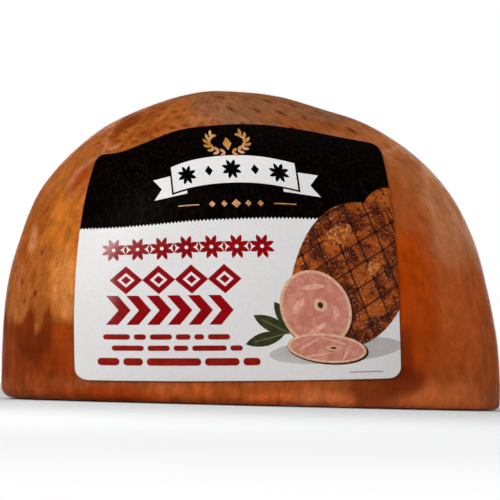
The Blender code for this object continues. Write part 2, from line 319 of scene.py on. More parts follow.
def between(value, start, full, last, end):
    """0 before start, 1 from full to last, 0 after end."""
    return ramp(value, start, full) * ramp(-value, -end, -last)


def bump_of(value, middle, half_width):
    """A smooth flat-topped bump of height 1 at middle."""
    return np.exp(-(((value - middle) / half_width) ** 4))


def placed(name, data, pose=Matrix()):
    """A new object in the scene, at its pose."""
    made = bpy.data.objects.new(name, data)
    made.matrix_world = pose
    bpy.context.scene.collection.objects.link(made)
    return made


def add_mesh(name, points, faces, materials):
    """A smooth mesh object from points in millimetres."""
    data = bpy.data.meshes.new(name)
    data.from_pydata([tuple(p) for p in np.asarray(points) * MM], [], faces)
    for finish in materials:
        data.materials.append(finish)
    data.shade_smooth()
    return placed(name, data)


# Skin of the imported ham, divided finely


def quad_skin(node):
    """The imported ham's mesh as quads, with an even base of rings instead of one fan."""
    mesh = bmesh.new()
    mesh.from_mesh(node.data)
    bmesh.ops.remove_doubles(mesh, verts=mesh.verts, dist=1e-6)
    base = [face for face in mesh.faces if all(vert.co.z < 1e-5 for vert in face.verts)]
    bmesh.ops.delete(mesh, geom=base, context="FACES")
    bmesh.ops.join_triangles(mesh, faces=mesh.faces, angle_face_threshold=1.0, angle_shape_threshold=1.2)
    ring = ordered_boundary(mesh)
    centre = sum((vert.co for vert in ring), Vector()) / len(ring)
    outline = [vert.co.copy() for vert in ring]
    for step in range(1, BASE_RINGS):
        share = 1 - step / BASE_RINGS
        inner = [mesh.verts.new(centre.lerp(place, share)) for place in outline]
        for i in range(len(ring)):
            j = (i + 1) % len(ring)
            mesh.faces.new((ring[i], ring[j], inner[j], inner[i]))
        ring = inner
    middle = mesh.verts.new(centre)
    for i in range(len(ring)):
        mesh.faces.new((ring[i], ring[(i + 1) % len(ring)], middle))
    bmesh.ops.recalc_face_normals(mesh, faces=mesh.faces)
    return mesh


def ordered_boundary(mesh):
    """The open edge's points, in order."""
    edges = [edge for edge in mesh.edges if edge.is_boundary]
    next_of = {}
    for edge in edges:
        for vert in edge.verts:
            next_of.setdefault(vert, []).append(edge.other_vert(vert))
    start = edges[0].verts[0]
    ring, before, here = [start], None, start
    while True:
        ways = [vert for vert in next_of[here] if vert is not before]
        before, here = here, ways[0]
        if here is start:
            return ring
        ring.append(here)


def fine_skin(node):
    """Points, normals and faces of the smoothly subdivided skin, in millimetres."""
    mesh = quad_skin(node)
    data = bpy.data.meshes.new("skin_guide")
    mesh.to_mesh(data)
    mesh.free()
    guide = placed("skin_guide", data)
    smooth = guide.modifiers.new("smooth", "SUBSURF")
    smooth.levels = smooth.render_levels = SUBDIVISIONS
    fine = bpy.data.meshes.new_from_object(guide.evaluated_get(bpy.context.evaluated_depsgraph_get()))
    points, normals = np.empty(len(fine.vertices) * 3), np.empty(len(fine.vertices) * 3)
    fine.vertices.foreach_get("co", points)
    fine.vertex_normals.foreach_get("vector", normals)
    faces = [tuple(face.vertices) for face in fine.polygons]
    bpy.data.objects.remove(guide)
    return points.reshape(-1, 3) / MM, normals.reshape(-1, 3), faces


def noise_at(points, size, seed):
    """Smooth noise from -1 to 1 at each point; size is the length of its waves, one or three numbers."""
    moved = points / np.asarray(size) + seed * 17.3
    return np.array([noise.noise(Vector(p)) for p in moved])


def distance_to_path(x, z, path):
    """Distance of each point from a path of straight runs, and how far along the path it is, from 0 to 1."""
    best, along = np.full(len(x), 1e9), np.zeros(len(x))
    for i, ((x0, z0), (x1, z1)) in enumerate(zip(path, path[1:])):
        dx, dz = x1 - x0, z1 - z0
        share = np.clip(((x - x0) * dx + (z - z0) * dz) / (dx * dx + dz * dz), 0, 1)
        distance = np.hypot(x - x0 - dx * share, z - z0 - dz * share)
        nearer = distance < best
        along[nearer] = (i + share[nearer]) / (len(path) - 1)
        best = np.minimum(best, distance)
    return best, along


def front_share(points):
    """1 on the front half, 0 on the back half, smooth in between."""
    return ramp(-points[:, 1], -6, 8)


def film_folds(points):
    """Each fold of the film, with 1 on the side of the ham where it lies and 0 on the other side."""
    front = front_share(points)
    sides = ((FRONT_FOLDS, front), (BACK_FOLDS, 1 - front))
    return [(fold, side) for folds, side in sides for fold in folds.values()]


def fold_share(x, z, path, half_width):
    """1 on the middle of a fold, fading to its sides and ends."""
    distance, along = distance_to_path(x, z, path)
    return np.sin(math.pi * lerp(0.1, 0.9, along)) * np.exp(-((distance / half_width) ** 2))


def label_share(points):
    """1 under the label, 0 away from it."""
    x, z = points[:, 0], points[:, 2]
    return between(x, -76, -70, 56, 64) * between(z, 8, 14, 106, 118) * front_share(points)


def film_relief(points):
    """Height of the film's fine folds and waves over the skin."""
    x, y, z = points.T
    height = np.zeros(len(points))
    for (path, rise, half_width, _), side in film_folds(points):
        height += rise * fold_share(x, z, path, half_width) * side
    angle = np.arctan2(y, x)
    around = np.stack([np.cos(angle) * RIM_WAVE_REACH, np.sin(angle) * RIM_WAVE_REACH, z * 0.1], 1)
    height += RIM_WAVE_HEIGHT * between(z, 1.5, 5, 9, 22) * noise_at(around, 1.0, 3)
    height += UPRIGHT_WAVE_HEIGHT * noise_at(points, UPRIGHT_WAVE_SIZE, 4) * ramp(z, 8, 30)
    return height * (1 - 0.9 * label_share(points)) * ramp(z, 0.5, 4)


# Tones of the skin


def patch_share(x, z, centre, radii, tilt):
    """1 in the middle of a tilted oval patch, 0 well outside."""
    turn = math.radians(tilt)
    dx, dz = x - centre[0], z - centre[1]
    along = dx * math.cos(turn) + dz * math.sin(turn)
    across = dz * math.cos(turn) - dx * math.sin(turn)
    return 1 - ramp(np.sqrt((along / radii[0]) ** 2 + (across / radii[1]) ** 2), 0.45, 1.25)


def paint(tones, colour, share):
    """Lays a colour over the tones, as strongly at each point as its share says."""
    tones += (np.array(colour) - tones) * share[:, None]


def paint_patches(tones, patches, x, z, side):
    """Lays a table's patches over the tones on one side of the ham."""
    for centre, radii, tilt, colour, strength in patches.values():
        paint(tones, srgb(*colour), patch_share(x, z, centre, radii, tilt) * side * strength)


def smoke_share(points):
    """How dark the skin is: nearly 1 below the smoke line on the front's left, less elsewhere, 0 above it."""
    x, y, z = points.T
    front = front_share(points)
    angle = np.arctan2(y, x)
    around = np.stack([np.cos(angle) * 6, np.sin(angle) * 6, z * 0], 1)
    broad, fine = SMOKE_WAVES_BACK
    waves = broad * noise_at(around, 1.4, 5) + fine * noise_at(around, 0.45, 15)
    line = SMOKE_LINE + waves * (1 - front)
    lean = x - SMOKE_LEAN * (z - SMOKE_LINE)
    for place, reach, half_width in SMOKE_FINGERS.values():
        line = line + reach * bump_of(lean, place, half_width) * front
    for place, reach, half_width in SMOKE_DIPS.values():
        line = line - reach * bump_of(lean, place, half_width) * front
    line = line + SMOKE_RIPPLE * noise_at(points, (4, 4, 30), 6)
    softness = SMOKE_SOFTNESS * lerp(SMOKE_SOFTENING_BACK, 1, front)
    from_right = ramp(np.degrees(np.abs(angle - math.radians(SMOKE_LIGHT_ANGLE))), *SMOKE_LIGHT_REACH)
    behind, before = SMOKE_STRENGTH_BACK * from_right, SMOKE_STRENGTH_FRONT * ramp(-x, 20, 70)
    strength = lerp(behind, before, ramp(-y, -20, 10))
    return ramp((line - z) / softness, -1, 1) * strength


def skin_tones(points):
    """Colour of the skin at each point, with painted shadow, sheen and highlights laid into it in places."""
    x, z = points[:, 0], points[:, 2]
    front = front_share(points)
    wobble = np.stack([noise_at(points, 14, 7), noise_at(points, 14, 8)], 1) * PATCH_WOBBLE
    broad = np.stack([noise_at(points, 36, 17), noise_at(points, 36, 18)], 1) * PATCH_WOBBLE_BACK
    wobble += broad * (1 - front)[:, None]
    blend = ramp(noise_at(points, 30, 1), -0.5, 0.5)[:, None]
    tones = lerp(np.array(PLAIN), np.array(PALE), blend * 0.6)
    paint_patches(tones, FRONT_TONES, x + wobble[:, 0], z + wobble[:, 1], front)
    paint_patches(tones, BACK_TONES, x + wobble[:, 0], z + wobble[:, 1], 1 - front)
    deep = lerp(np.array(BROWN), np.array(RUST), ramp(noise_at(points, 16, 9), -0.2, 0.6)[:, None] * 0.6)
    paint_patches(deep, SMOKE_TONES, x, z, front)
    paint(tones, deep, smoke_share(points) * lerp(0.25, 1.0, ramp(z, 3, 13)))
    # Painted highlight: pale lines along the film's folds, standing in for their shine
    for (path, _, half_width, pale), side in film_folds(points):
        paint(tones, FOLD_HIGHLIGHT, fold_share(x, z, path, half_width * 0.8) * side * pale)
    return tones


def base_tones(points):
    """Colour of the cut face under the ham: pink meat in a few muscles, with fat between them."""
    grain = ramp(noise_at(points, 9, 11), -0.5, 0.5)[:, None]
    seam = np.abs(noise_at(points, (46, 34, 46), 12))
    meat = lerp(np.array(CUT_MEAT), np.array(CUT_MEAT_PALE), grain)
    return lerp(np.array(CUT_FAT), meat, ramp(seam, 0.02, 0.10)[:, None])


def mark_shares(points):
    """How strongly three marks of the skin show: slanted dashes, upright flecks and round spots."""
    x, y, z = points.T
    front = front_share(points)
    dashes = between(x, -22, -12, 38, 62) * ramp(z, 112, 119) * ramp(-y, -26, -4)
    flecks = ramp(-x, 74, 84) * between(z, 38, 43, 58, 70) * front
    flecks += (1 - front) * between(z, 40, 50, 66, 84) * ramp(-x, 10, 50) * 0.5
    spots = ramp(-x, 14, 26) * ramp(z, 98, 110)
    spots = np.maximum(spots, (1 - front) * ramp(z, 88, 104) * (1 - dashes) * 0.35)
    return np.stack([dashes, flecks, spots], 1)


def streak_places(points):
    """Places for the streaks' noise, drawn out so that the streaks run down from the crest on every side."""
    across, along = (points[:, 0] - CREST_X) / STREAK_WIDTH, points[:, 1] / STREAK_DEPTH
    away = np.maximum(np.hypot(across, along), 1e-3)
    reach = away ** STREAK_REACH / away
    rise = points[:, 2] * STREAK_RISE
    return np.stack([across * reach * STREAK_WIDTH, along * reach * STREAK_DEPTH, rise], 1)


def grain_share(points):
    """How strongly streaks and mottling show: less on the smooth right side and on the back."""
    right = ramp(points[:, 0], 48, 64) * ramp(-points[:, 2], -118, -100)
    front = front_share(points)
    return 1 - GRAIN_LOSS_RIGHT * right * front - GRAIN_LOSS_BACK * (1 - front)


# The meat and the film


def set_attribute(obj, name, kind, values):
    """A value for each point of the mesh, for its material to read."""
    made = obj.data.attributes.new(name, kind, "POINT")
    field = {"FLOAT": "value", "FLOAT_VECTOR": "vector", "FLOAT_COLOR": "color"}[kind]
    made.data.foreach_set(field, np.asarray(values, dtype=np.float32).ravel())


def make_meat(skin):
    """The meat just under the film, with all that its material reads from the mesh."""
    points, normals, faces = skin
    depth = MEAT_DEPTH - MEAT_UNEVENNESS * noise_at(points, 9, 2)
    meat = add_mesh("smoked_meat", points - normals * depth[:, None], faces, [meat_material()])
    on_base = ramp(-normals[:, 2], 0.85, 0.98) * ramp(-points[:, 2], -0.4, -0.1)
    tones = lerp(skin_tones(points), base_tones(points), on_base[:, None])
    turn = np.arctan2(points[:, 1], points[:, 2] - CHART_AXIS_Z)
    chart = np.stack([points[:, 0], turn * CHART_RADIUS, points[:, 2]], 1)
    set_attribute(meat, "tone", "FLOAT_COLOR", np.concatenate([tones, np.ones((len(tones), 1))], 1))
    set_attribute(meat, "marks", "FLOAT_VECTOR", mark_shares(points) * (1 - on_base)[:, None])
    set_attribute(meat, "chart", "FLOAT_VECTOR", chart)
    set_attribute(meat, "streaks", "FLOAT_VECTOR", streak_places(points))
    set_attribute(meat, "grain", "FLOAT", grain_share(points) * (1 - on_base))
    return meat


def make_film(skin):
    """The film over the meat, with its folds and waves, and how strongly it shines."""
    points, normals, faces = skin
    lift = film_relief(points) - FILM_DEPTH
    film = add_mesh("clear_film", points + normals * lift[:, None], faces, [film_material()])
    in_front = ramp(-points[:, 1], -30, -2)
    set_attribute(film, "shine", "FLOAT", lerp(FILM_SHINE_BACK, FILM_SHINE_FRONT, in_front))
    return film


# The label's surface


def bezier(points, share):
    """A point on the cubic curve of four x, z points."""
    rest = 1 - share
    weights = (rest ** 3, 3 * rest * rest * share, 3 * rest * share * share, share ** 3)
    return np.array([sum(w * p[k] for w, p in zip(weights, points)) for k in (0, 1)])


def through_points(points, share):
    """A point on the smooth curve through all the points."""
    spans = len(points) - 1
    i = min(int(share * spans), spans - 1)
    t = share * spans - i
    b, s, e, a = (np.array(points[max(0, min(spans, k))]) for k in (i - 1, i, i + 1, i + 2))
    square, cube = 2 * b - 5 * s + 4 * e - a, 3 * s - b - 3 * e + a
    return 0.5 * (2 * s + (e - b) * t + square * t * t + cube * t ** 3)


def label_front_view(across, up):
    """Where a point of the flat label, as shares of its width and height, lies seen from the front."""
    sides = lerp(bezier(LABEL_LEFT, up), bezier(LABEL_RIGHT, up), across)
    sag = bezier(LABEL_BOTTOM, across) - lerp(np.array(LABEL_BOTTOM[0]), np.array(LABEL_BOTTOM[-1]), across)
    arch = through_points(LABEL_TOP, across) - lerp(np.array(LABEL_TOP[0]), np.array(LABEL_TOP[-1]), across)
    return sides + sag * (1 - up) + arch * up ** LABEL_ARCH


class LabelSurface:
    """The label's middle sheet as a smooth function of its flat millimetres."""

    STEP = 2.5

    def __init__(self, skin):
        points, _, faces = skin
        tree = BVHTree.FromPolygons([tuple(p) for p in points], faces)
        self.columns, self.rows = round(LABEL_WIDTH / self.STEP), round(LABEL_HEIGHT / self.STEP)
        grid = np.empty((self.columns + 3, self.rows + 3, 3))
        for i in range(self.columns + 1):
            for j in range(self.rows + 1):
                x, z = label_front_view(i / self.columns, j / self.rows)
                place, _, _, _ = tree.ray_cast(Vector((x, RAY_START_Y, z)), Vector((0, 1, 0)))
                grid[i + 1, j + 1] = place
        grid[0], grid[-1] = 2 * grid[1] - grid[2], 2 * grid[-2] - grid[-3]
        grid[:, 0], grid[:, -1] = 2 * grid[:, 1] - grid[:, 2], 2 * grid[:, -2] - grid[:, -3]
        self.grid = grid

    def weights(self, t):
        """Smoothing weights of the four neighbours, so that the sheet bends evenly."""
        rest = 1 - t
        return np.stack([rest ** 3, 3 * t ** 3 - 6 * t ** 2 + 4, 3 * (1 + t * rest) * t + 1, t ** 3], 1) / 6

    def sheet(self, flat):
        """Places on the skin of points given in flat millimetres."""
        u = np.clip(flat[:, 0] / LABEL_WIDTH, 0, 1) * self.columns
        v = np.clip(flat[:, 1] / LABEL_HEIGHT, 0, 1) * self.rows
        i, j = np.minimum(u.astype(int), self.columns - 1), np.minimum(v.astype(int), self.rows - 1)
        wu, wv = self.weights(u - i), self.weights(v - j)
        place = np.zeros((len(flat), 3))
        for a in range(4):
            for b in range(4):
                place += (wu[:, a] * wv[:, b])[:, None] * self.grid[i + a, j + b]
        return place

    def frame(self, flat):
        """Places and outward normals of the creased sheet."""
        ends = [(flat - step, flat + step) for step in ((NORMAL_STEP, 0), (0, NORMAL_STEP))]
        ways = [self.sheet(high) - self.sheet(low) for low, high in ends]
        outward = unit(np.cross(*ways))
        rises = [label_relief(high) - label_relief(low) for low, high in ends]
        place = self.sheet(flat) + outward * (LABEL_LIFT + label_relief(flat))[:, None]
        return place, unit(np.cross(*(way + outward * rise[:, None] for way, rise in zip(ways, rises))))


def unit(vectors):
    return vectors / np.maximum(np.linalg.norm(vectors, axis=1), 1e-9)[:, None]


# Creases of the paper, in flat millimetres: points, then height and half width
LABEL_CREASES = {
    "curved": (((22.3, 91), (25.8, 88), (28.8, 82), (28.4, 75), (27, 69), (26.9, 60)), 0.10, 0.7),
    "diagonal": (((108, 88), (114, 92), (120, 96), (127, 101)), 0.10, 0.7),
    "upper left": (((36, 101), (30, 95), (27, 90)), 0.08, 0.9),
    "low": (((36, 1), (38.5, 6), (38, 12)), 0.08, 0.7),
}


def label_relief(flat):
    """Height of the paper's creases and slow waves."""
    x, y = flat.T
    height = LABEL_WAVE_HEIGHT * np.sin(x / 9.0 + 0.6 * np.sin(y / 21.0)) * ramp(y, 0, 60)
    for path, rise, half_width in LABEL_CREASES.values():
        height += rise * fold_share(x, y, path, half_width)
    return height


# The label's print: outlines in flat millimetres from its lower left corner


def rectangle(x0, y0, x1, y1, radius=0.0, steps=4):
    """A box with rounded corners."""
    if radius <= 0:
        return [(x0, y0), (x1, y0), (x1, y1), (x0, y1)]
    points = []
    for cx, cy, start in ((x1 - radius, y0 + radius, -90), (x1 - radius, y1 - radius, 0),
                          (x0 + radius, y1 - radius, 90), (x0 + radius, y0 + radius, 180)):
        for k in range(steps + 1):
            turn = math.radians(start + 90 * k / steps)
            points.append((cx + radius * math.cos(turn), cy + radius * math.sin(turn)))
    return points


def turned(x, y, a, b, tilt):
    """The point that lies a along and b across from x, y in the direction tilt."""
    turn = math.radians(tilt)
    return x + a * math.cos(turn) - b * math.sin(turn), y + a * math.sin(turn) + b * math.cos(turn)


def oval(x, y, rx, ry, tilt=0.0, steps=36, squareness=2.0):
    """A tilted oval; squareness above 2 fills its corners."""
    points = []
    for k in range(steps):
        angle = 2 * math.pi * k / steps
        c, s = math.cos(angle), math.sin(angle)
        a = math.copysign(abs(c) ** (2 / squareness), c) * rx
        b = math.copysign(abs(s) ** (2 / squareness), s) * ry
        points.append(turned(x, y, a, b, tilt))
    return points


def diamond(x, y, rx, ry):
    return [(x - rx, y), (x, y - ry), (x + rx, y), (x, y + ry)]


def leaf(x, y, length, width, tilt, steps=8):
    """A pointed leaf that starts at x, y and grows in the direction tilt."""
    low, high = [], []
    for k in range(steps + 1):
        along = k / steps
        half = width / 2 * math.sin(math.pi * along) ** 0.8
        low.append(turned(x, y, along * length, -half, tilt))
        high.append(turned(x, y, along * length, half, tilt))
    return low + high[-2:0:-1]


def pinked_edge(x0, x1, y0, y1, pitch=1.55, depth=0.95):
    """Points of a zigzag line from x0, y0 to x1, y1."""
    count = round((x1 - x0) / pitch)
    points = []
    for k in range(2 * count + 1):
        share = k / (2 * count)
        points.append((lerp(x0, x1, share), lerp(y0, y1, share) + (depth if k % 2 else 0)))
    return points


def stripe(x0, y0, x1, y1, width):
    """A straight band from one point to another."""
    length = math.hypot(x1 - x0, y1 - y0)
    nx, ny = -(y1 - y0) / length * width / 2, (x1 - x0) / length * width / 2
    return [(x0 - nx, y0 - ny), (x1 - nx, y1 - ny), (x1 + nx, y1 + ny), (x0 + nx, y0 + ny)]


class Print:
    """Shapes of ink in painting order. A shape with within shows only inside that earlier shape."""

    def __init__(self):
        self.shapes = []

    def add(self, ink, outline, within=None):
        """Adds an outline, turned so that it runs anticlockwise, and returns its number."""
        area = sum(x0 * y1 - x1 * y0 for (x0, y0), (x1, y1) in zip(outline, outline[1:] + outline[:1]))
        self.shapes.append((ink, outline if area > 0 else outline[::-1], within))
        return len(self.shapes) - 1


def ribbon_middle(x):
    """Height of the arched ribbon's middle line at x from the label's middle."""
    return RIBBON_MIDDLE + RIBBON_RISE * (1 - (x / RIBBON_HALF_WIDTH) ** 2)


def ribbon_band(grow=0.0):
    """The arched ribbon; grow makes it larger all round."""
    top, low = [], []
    for k in range(RIBBON_STEPS + 1):
        x = lerp(-RIBBON_HALF_WIDTH - grow, RIBBON_HALF_WIDTH + grow, k / RIBBON_STEPS)
        top.append((EMBLEM_X + x, ribbon_middle(x) + RIBBON_HEIGHT / 2 + grow))
        low.append((EMBLEM_X + x, ribbon_middle(x) - RIBBON_HEIGHT / 2 - grow))
    return low + top[::-1]


def laurel(sheet, side):
    """One branch of a small gold wreath: pairs of leaves along an arc; side is -1 or 1."""
    rx, ry = WREATH_REACH
    for k in range(7):
        angle = math.radians(-80 + 19 * k)
        c, s = math.cos(angle), math.sin(angle)
        way = math.degrees(math.atan2(ry * c, -rx * s))
        x, y = EMBLEM_X + side * rx * c, WREATH_MIDDLE + ry * s
        for tilt in (way - 34, way + 34):
            sheet.add("ink_gold", leaf(x, y, 2.9, 1.25, tilt if side > 0 else 180 - tilt))


def star(sheet, ink, x, y, length, width, within=None):
    """Eight leaves round a middle."""
    for tilt in STAR_TURNS:
        sheet.add(ink, leaf(x, y, length, width, tilt), within)


def upper_field(sheet):
    """Black field with a pinked lower edge; on it a white ribbon between a gold wreath and a gold rule."""
    edge = pinked_edge(-1, LABEL_WIDTH + 1, *FIELD_EDGE)
    field = sheet.add("ink_black", edge + [(LABEL_WIDTH + 1, LABEL_HEIGHT + 1), (-1, LABEL_HEIGHT + 1)])
    # A lighter grey line along the curved crease of the black field
    crease = LABEL_CREASES["curved"][0]
    for start, end in zip(crease, crease[1:]):
        sheet.add("ink_crease_line", stripe(*start, *end, 0.26), field)
    for side in (-1, 1):
        tail = [(20, 83.6), (35, 82.2), (31.2, 87.0), (35, 91.8), (20, 92.6)]
        sheet.add("ink_white", [(EMBLEM_X + side * x, y) for x, y in tail])
    sheet.add("ink_black", ribbon_band(0.8))
    body = sheet.add("ink_white", ribbon_band())
    for k in range(-2, 3):
        x, y = EMBLEM_X + k * 9.6, ribbon_middle(k * 9.6)
        if k % 2 == 0:
            star(sheet, "ink_black", x, y, 4.3, 1.7, body)
        else:
            sheet.add("ink_black", diamond(x, y, 1.7, 2.2), body)
    for side in (-1, 1):
        laurel(sheet, side)
        x = EMBLEM_X + side * 20
        sheet.add("ink_gold", rectangle(x - 4.5, 78.2, x + 4.5, 78.7))
    sheet.add("ink_gold", diamond(EMBLEM_X, 103.8, 1.9, 2.8))
    for k in range(-2, 3):
        size = 1.9 if k == 0 else 1.35
        sheet.add("ink_gold", diamond(EMBLEM_X + k * 5.0, GOLD_RULE, size, size))


def chevron(x, y, width, half_height, thick):
    """An arrowhead band that points right, with its inner corner at x, y."""
    back = x - width
    return [(back, y - half_height), (back + thick, y - half_height), (x + thick, y),
            (back + thick, y + half_height), (back, y + half_height), (x, y)]


def ornament_rows(sheet):
    """Rows of simple red ornaments, with three rows of plain bars and a thin grey rule below them."""
    for k in range(7):
        x, y = 16.0 + k * 10.4, 60.4
        star(sheet, "ink_red", x, y, 5.4, 2.1)
        sheet.add("ink_white", oval(x, y, 0.8, 0.8, 0, 12))
        if k:
            sheet.add("ink_red", diamond(x - 5.2, y, 0.8, 2.4))
    for k in range(4):
        x, y = 21.5 + k * 13.6, 46.6
        ring = sheet.add("ink_red", diamond(x, y, 6.9, 6.4))
        sheet.add("ink_white", diamond(x, y, 3.6, 3.3), ring)
        sheet.add("ink_red", diamond(x, y, 2.1, 1.9), ring)
    for k in range(6):
        sheet.add("ink_red", chevron(18.4 + k * 8.4, 33.0, 5.2, 6.6, 5.0))
    rows = ((19.6, 2.5, 12.0, (11, 5, 9, 6, 4, 9)), (14.4, 2.5, 15.5, (13, 9, 6, 14, 5)),
            (7.4, 3.6, 9.5, (9, 8, 22, 14, 7)))
    for y, height, x, widths in rows:
        for width in widths:
            sheet.add("ink_rust", rectangle(x, y, x + width, y + height, height * 0.4, 2))
            x += width + 1.5
    sheet.add("ink_grey", rectangle(112, 3.2, 126, 3.8))


def scored_body(sheet, body, centre, spacing, reach, tilts):
    """Crossing score lines with a clove at each crossing, inside the shape body."""
    x0, y0 = centre
    ways = [(math.cos(math.radians(tilt)), math.sin(math.radians(tilt))) for tilt in tilts]
    for (cx, cy), (dx, dy) in zip(ways, reversed(ways)):
        for k in range(-reach, reach + 1):
            x, y = x0 + dx * k * spacing, y0 + dy * k * spacing
            sheet.add("print_score", stripe(x - cx * 60, y - cy * 60, x + cx * 60, y + cy * 60, 0.7), body)
    for i in range(-reach, reach + 1):
        for j in range(-reach, reach + 1):
            x = x0 + (ways[0][0] * i + ways[1][0] * j) * spacing
            y = y0 + (ways[0][1] * i + ways[1][1] * j) * spacing
            sheet.add("print_clove", oval(x, y, 0.9, 0.9, 0, 8), body)


def round_slice(sheet, x, y, rx, ry, tilt):
    """A slice with its browned edge, fat rim, pink meat with pale seams, and the bone."""
    sheet.add("print_score", oval(x + 0.5, y - 0.5, rx + 0.5, ry + 0.4, tilt, 40))
    sheet.add("print_fat", oval(x, y, rx, ry, tilt, 40))
    meat = sheet.add("print_meat", oval(x, y, rx - 1.3, ry - min(1.2, ry * 0.16), tilt, 40))
    seams = ((-0.45, 0.2, 0.30, 0.09, 40), (0.15, 0.55, 0.34, 0.07, -12), (-0.2, -0.5, 0.34, 0.07, 16),
             (0.5, -0.25, 0.22, 0.07, 70))
    for a, b, ra, rb, lean in seams:
        middle = turned(x, y, a * rx, b * ry, tilt)
        sheet.add("print_meat_light", oval(*middle, ra * rx, max(0.45, rb * ry), tilt + lean, 16), meat)
    bone = turned(x, y, 0.16 * rx, 0.06 * ry, tilt)
    sheet.add("print_fat", oval(*bone, rx * 0.19, ry * 0.17, tilt, 18), meat)
    sheet.add("print_score", oval(*bone, rx * 0.08, ry * 0.08, tilt, 12), meat)


def ham_picture(sheet):
    """A generic whole ham, scored and set with cloves, with two round slices and bay leaves before it."""
    sheet.add("print_shadow", oval(107, 14, 28, 6.0, 4))
    for tilt, x in ((150, 88), (196, 86), (122, 91)):
        sheet.add("print_leaf", leaf(x, 22, 17, 6.4, tilt))
        sheet.add("print_leaf_light", stripe(x, 22, *turned(x, 22, 13, 0, tilt), 0.5))
    sheet.add("print_crust", oval(129, 77, 8, 13, -24))
    body = sheet.add("print_crust", oval(115, 48, 24, 34, -22, 48, 2.2))
    scored_body(sheet, body, (114, 50), 8.6, 5, (34, 108))
    sheet.add("print_glow", oval(110, 66, 7.0, 3.6, 38, 24), body)
    sheet.add("print_glow", oval(124, 52, 4.0, 2.4, 60, 20), body)
    round_slice(sheet, 99, 33, 14.5, 17.5, 18)
    round_slice(sheet, 103, 15.0, 16.5, 6.8, -7)


def label_inks():
    """The label's print: a list of (ink, outline, within), the paper first."""
    sheet = Print()
    sheet.add("label_paper", rectangle(0, 0, LABEL_WIDTH, LABEL_HEIGHT, LABEL_CORNER, 8))
    upper_field(sheet)
    ham_picture(sheet)
    ornament_rows(sheet)
    return sheet.shapes


def short_runs(outline):
    """The closed outline with its long straight runs divided, so that they can follow the curved ham."""
    points = []
    for (x0, y0), (x1, y1) in zip(outline, outline[1:] + outline[:1]):
        count = max(1, math.ceil(math.hypot(x1 - x0, y1 - y0) / SHEET_SPACING))
        points += [Vector((lerp(x0, x1, k / count), lerp(y0, y1, k / count))) for k in range(count)]
    return points


def cut_sheet(shapes):
    """Divides the flat label along every outline: points, triangles and the ink of each triangle."""
    points, loops = [], []
    for _, outline, _ in shapes:
        start = len(points)
        points += short_runs(outline)
        loops.append(list(range(start, len(points))))
    for i in range(1, int(LABEL_WIDTH / SHEET_SPACING)):
        for j in range(1, int(LABEL_HEIGHT / SHEET_SPACING)):
            shift = SHEET_SPACING / 4 if j % 2 else 0
            points.append(Vector((i * SHEET_SPACING + shift, j * SHEET_SPACING)))
    places, _, faces, _, _, owners = delaunay_2d_cdt(points, [], loops, 0, 1e-4)
    kept, inks = [], []
    for face, owner in zip(faces, owners):
        inside = set(owner)
        if 0 not in inside:
            continue
        shown = [k for k in inside if shapes[k][2] is None or shapes[k][2] in inside]
        kept.append(tuple(face))
        inks.append(shapes[max(shown)][0])
    return np.array([tuple(p) for p in places]), kept, inks


def make_label(skin):
    """The printed label, a thin sheet: its front cut along every outline, its back and its rim."""
    shapes = label_inks()
    flat, faces, inks = cut_sheet(shapes)
    used = sorted({index for face in faces for index in face})
    new_index = {old: new for new, old in enumerate(used)}
    flat = flat[used]
    faces = [tuple(new_index[index] for index in face) for face in faces]
    surface = LabelSurface(skin)
    front, normals = surface.frame(flat)
    back = front - normals * LABEL_THICKNESS
    count = len(flat)
    finishes = label_materials()
    slots = {name: k for k, name in enumerate(finishes)}
    rim = open_edges(faces)
    all_faces = list(faces)
    all_faces += [tuple(index + count for index in reversed(face)) for face in faces]
    all_faces += [(b, a, a + count, b + count) for a, b in rim]
    label = add_mesh("front_label", np.concatenate([front, back]), all_faces, list(finishes.values()))
    marks = [slots[ink] for ink in inks] + [slots["label_paper"]] * (len(faces) + len(rim))
    label.data.polygons.foreach_set("material_index", marks)
    sides = np.concatenate([normals, -normals])
    loop_normals = []
    for k, face in enumerate(all_faces):
        flat_side = label.data.polygons[k].normal
        loop_normals += [tuple(flat_side) if k >= 2 * len(faces) else tuple(sides[index]) for index in face]
    label.data.normals_split_custom_set(loop_normals)
    return label


def open_edges(faces):
    """Directed edges that belong to one face only."""
    directed = {(face[k], face[(k + 1) % len(face)]) for face in faces for k in range(len(face))}
    return [(a, b) for a, b in directed if (b, a) not in directed]


# Materials


def opaque(value):
    """A colour with its alpha; anything else stays as it is."""
    return (*value[:3], 1.0) if isinstance(value, tuple) else value


